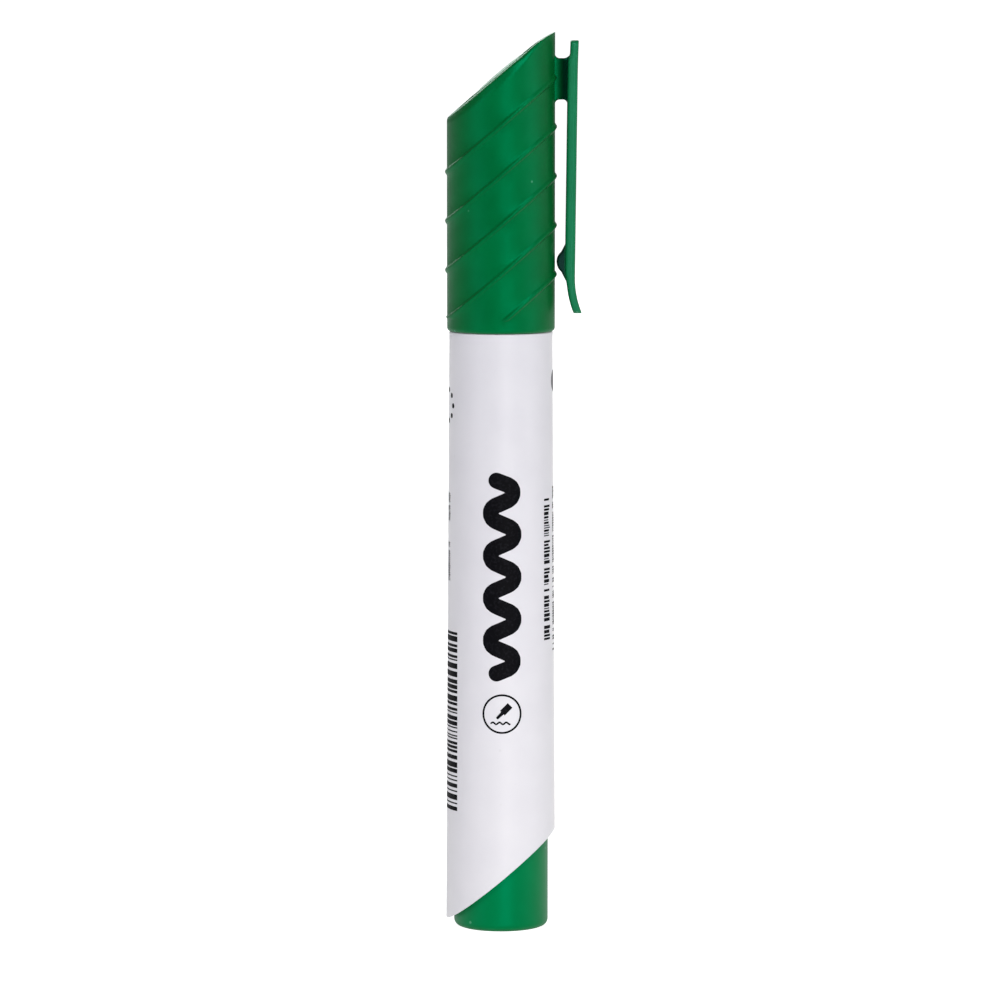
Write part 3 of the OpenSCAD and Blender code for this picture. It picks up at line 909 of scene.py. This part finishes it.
def rib_tree():
    """Raises slanted ribs on a round wall, each fading out where it meets the plain band."""
    tree, given = geometry_tree("Slanted Ribs", [
        ("Rib Count", "Int", 5), ("Pitch", "Float", 0.0076), ("Top Rib Height", "Float", 0.12),
        ("Slope", "Float", 0.8), ("Wall Radius", "Float", 0.008), ("Rib Height", "Float", 0.0003),
        ("Half Width", "Float", 0.0005), ("Band Height", "Float", 0.095), ("Material", "Material", None)])
    place = put(tree, "GeometryNodeInputPosition").outputs[0]
    at = put(tree, "ShaderNodeSeparateXYZ", {0: place}).outputs
    flat = put(tree, "ShaderNodeCombineXYZ", {0: at[0], 1: at[1]}).outputs[0]
    radius = put(tree, "ShaderNodeVectorMath", {0: flat}, operation="LENGTH").outputs["Value"]
    outward = put(tree, "ShaderNodeVectorMath", {0: flat}, operation="NORMALIZE").outputs[0]
    level = calc(tree, "SUBTRACT", at[2], calc(tree, "MULTIPLY", at[0], given["Slope"]))
    drop = calc(tree, "SUBTRACT", given["Top Rib Height"], level)
    number = calc(tree, "ROUND", calc(tree, "DIVIDE", drop, given["Pitch"]))
    last = calc(tree, "SUBTRACT", given["Rib Count"], 1.0)
    nearest = calc(tree, "MINIMUM", calc(tree, "MAXIMUM", number, 0.0), last)
    middle = calc(tree, "MULTIPLY", nearest, given["Pitch"])
    gap = calc(tree, "ABSOLUTE", calc(tree, "SUBTRACT", drop, middle))
    shape = ramp(tree, calc(tree, "DIVIDE", gap, given["Half Width"]), 0.08, 1.0, 1.0, 0.0)
    above = calc(tree, "SUBTRACT", at[2], given["Band Height"])
    fade = ramp(tree, above, 0.0, 0.35 * MM, 0.0, 1.0)
    wall = calc(tree, "SUBTRACT", given["Wall Radius"], 0.005 * MM)
    height = calc(tree, "MULTIPLY", calc(tree, "GREATER_THAN", radius, wall), given["Rib Height"])
    lift = calc(tree, "MULTIPLY", calc(tree, "MULTIPLY", shape, fade), height)
    move = put(tree, "ShaderNodeVectorMath", {0: outward, "Scale": lift}, operation="SCALE").outputs[0]
    raised = put(tree, "GeometryNodeSetPosition", {"Geometry": given["Geometry"], "Offset": move})
    finish_tree(tree, raised.outputs[0], given["Material"])
    return tree


# Painted shade: past X = 8.4 mm the cap's tone darkens to near black at 9.7 mm, for the shadow under the
# clip's bar.
cap_green = moulded(
    "cap_green_polypropylene",
    {"Tone": (0.0, 0.114, 0.019, 1), "Deep Tone": (0.0, 0.100, 0.015, 1),
     "Speck Tone": (0.12, 0.4, 0.24, 1), "Speck Amount": 0.6, "Roughness": 0.42, "Grain": 0.14,
     "Painted Shade Tone": (0.0, 0.008, 0.003, 1), "Painted Shade Start": 8.4 * MM, "Painted Shade End": 9.7 * MM},
    Specular_IOR_Level=0.8, Specular_Tint=(0.0, 1.0, 0.5, 1))
cap = solid("cap_moulding", (turned(cap_section, 256), False), (bridge, False))
grow(cap, rib_tree(), {
    "Rib Count": rib_count, "Pitch": rib_pitch * MM, "Top Rib Height": top_rib_z * MM,
    "Slope": slope * rib_r / cap_r, "Wall Radius": cap_r * MM, "Rib Height": rib_height * MM,
    "Half Width": rib_half * MM, "Band Height": band_z * MM, "Material": cap_green})
fit(cap, cap_green, "cap", "cap_plastic", "cap_shell")


# ---------------------------------------------------------------------------------------------
# Pocket clip: a springy bar of the same green plastic, moulded on the bridge. A bump on its inner
# face grips a pocket's edge, and its tip flares out to lead the cloth in.
# ---------------------------------------------------------------------------------------------

bar_half = 2.3
outer_round, inner_round = 0.55, 0.42
end_edge = 0.15


def clip_rings():
    """Level sections down the bar, with rounded edges, top and tip."""
    bends = [(end_edge * (1 - math.cos(turn)), end_edge * (1 - math.sin(turn)))
             for turn in (math.pi / 2 * k / 5 for k in range(6))]
    close = (0.25, 0.4, 0.6, 0.85)
    stack = [(clip_top - drop, inset) for drop, inset in bends]
    stack += [(clip_top - gap, 0.0) for gap in close]
    stack += [(clip_top - 1.2 - (clip_top - clip_tip - 2.6) * k / 90, 0.0) for k in range(91)]
    stack += [(clip_tip + gap, 0.0) for gap in (1.2, *close[::-1])]
    stack += [(clip_tip + drop, inset) for drop, inset in bends[::-1]]
    rings = []
    for z, inset in stack:
        half = bar_half - inset
        for gap, corner in ((clip_top - z, 0.8), (z - clip_tip, 1.2)):
            if gap < corner:
                half -= corner - math.sqrt(corner ** 2 - (corner - gap) ** 2)
        outer, inner = clip_outer(z) - inset, clip_inner(z) + inset
        outline = rounded([
            (outer, -half, outer_round), (outer, half, outer_round),
            (inner, half, inner_round), (inner, -half, inner_round)], looped=True)
        rings.append([(x, y, z) for x, y in outline])
    return rings


def bump_rings():
    """The bump: its side outline, carried across the bar with rounded sides."""
    nose, middle_z, nose_r = 10.64, clip_tip + 8, 2.0
    root, flank, edge = 10.9, 0.85, 0.35
    side = [(root, middle_z + 3.6), (10.1, middle_z + 2.95)]
    side += [(nose - nose_r * math.cos(angle), middle_z + nose_r * math.sin(angle))
             for angle in (math.radians(50 - 10 * k) for k in range(11))]
    side += [(10.3, middle_z - 3.4), (root, middle_z - 4.2)]
    rings = []
    for k in range(-7, 8):
        turn = math.pi / 2 * max(0, abs(k) - 3) / 4
        inset = edge * (1 - math.cos(turn))
        y = math.copysign(min(abs(k), 3) / 3 * flank + edge * math.sin(turn), k)
        shrink = 1 - inset / 3
        rings.append([(min(x + inset, root), y, middle_z + (z - middle_z) * shrink) for x, z in side])
    return rings


clip = solid("pocket_clip_bar", (clip_rings(), False), (bump_rings(), False))
# The clip is the cap's plastic, and its lighter, paler tone is painted sheen. Its painted shade darkens the
# bump and the bar's inner side from X = 9.95 mm inwards, to near black inside 9.75 mm.
clip_green = moulded(
    "clip_green_polypropylene",
    {"Tone": (0.002, 0.178, 0.055, 1), "Deep Tone": (0.001, 0.158, 0.046, 1),
     "Speck Tone": (0.12, 0.4, 0.24, 1), "Speck Amount": 0.3, "Roughness": 0.36, "Grain": 0.1,
     "Painted Shade Tone": (0.0, 0.010, 0.004, 1), "Painted Shade Start": 9.95 * MM, "Painted Shade End": 9.75 * MM},
    Specular_IOR_Level=0.5, Specular_Tint=(0.3, 1.0, 0.9, 1))
clip.data.materials.append(clip_green)
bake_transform(clip)
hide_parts("pocket_clip")
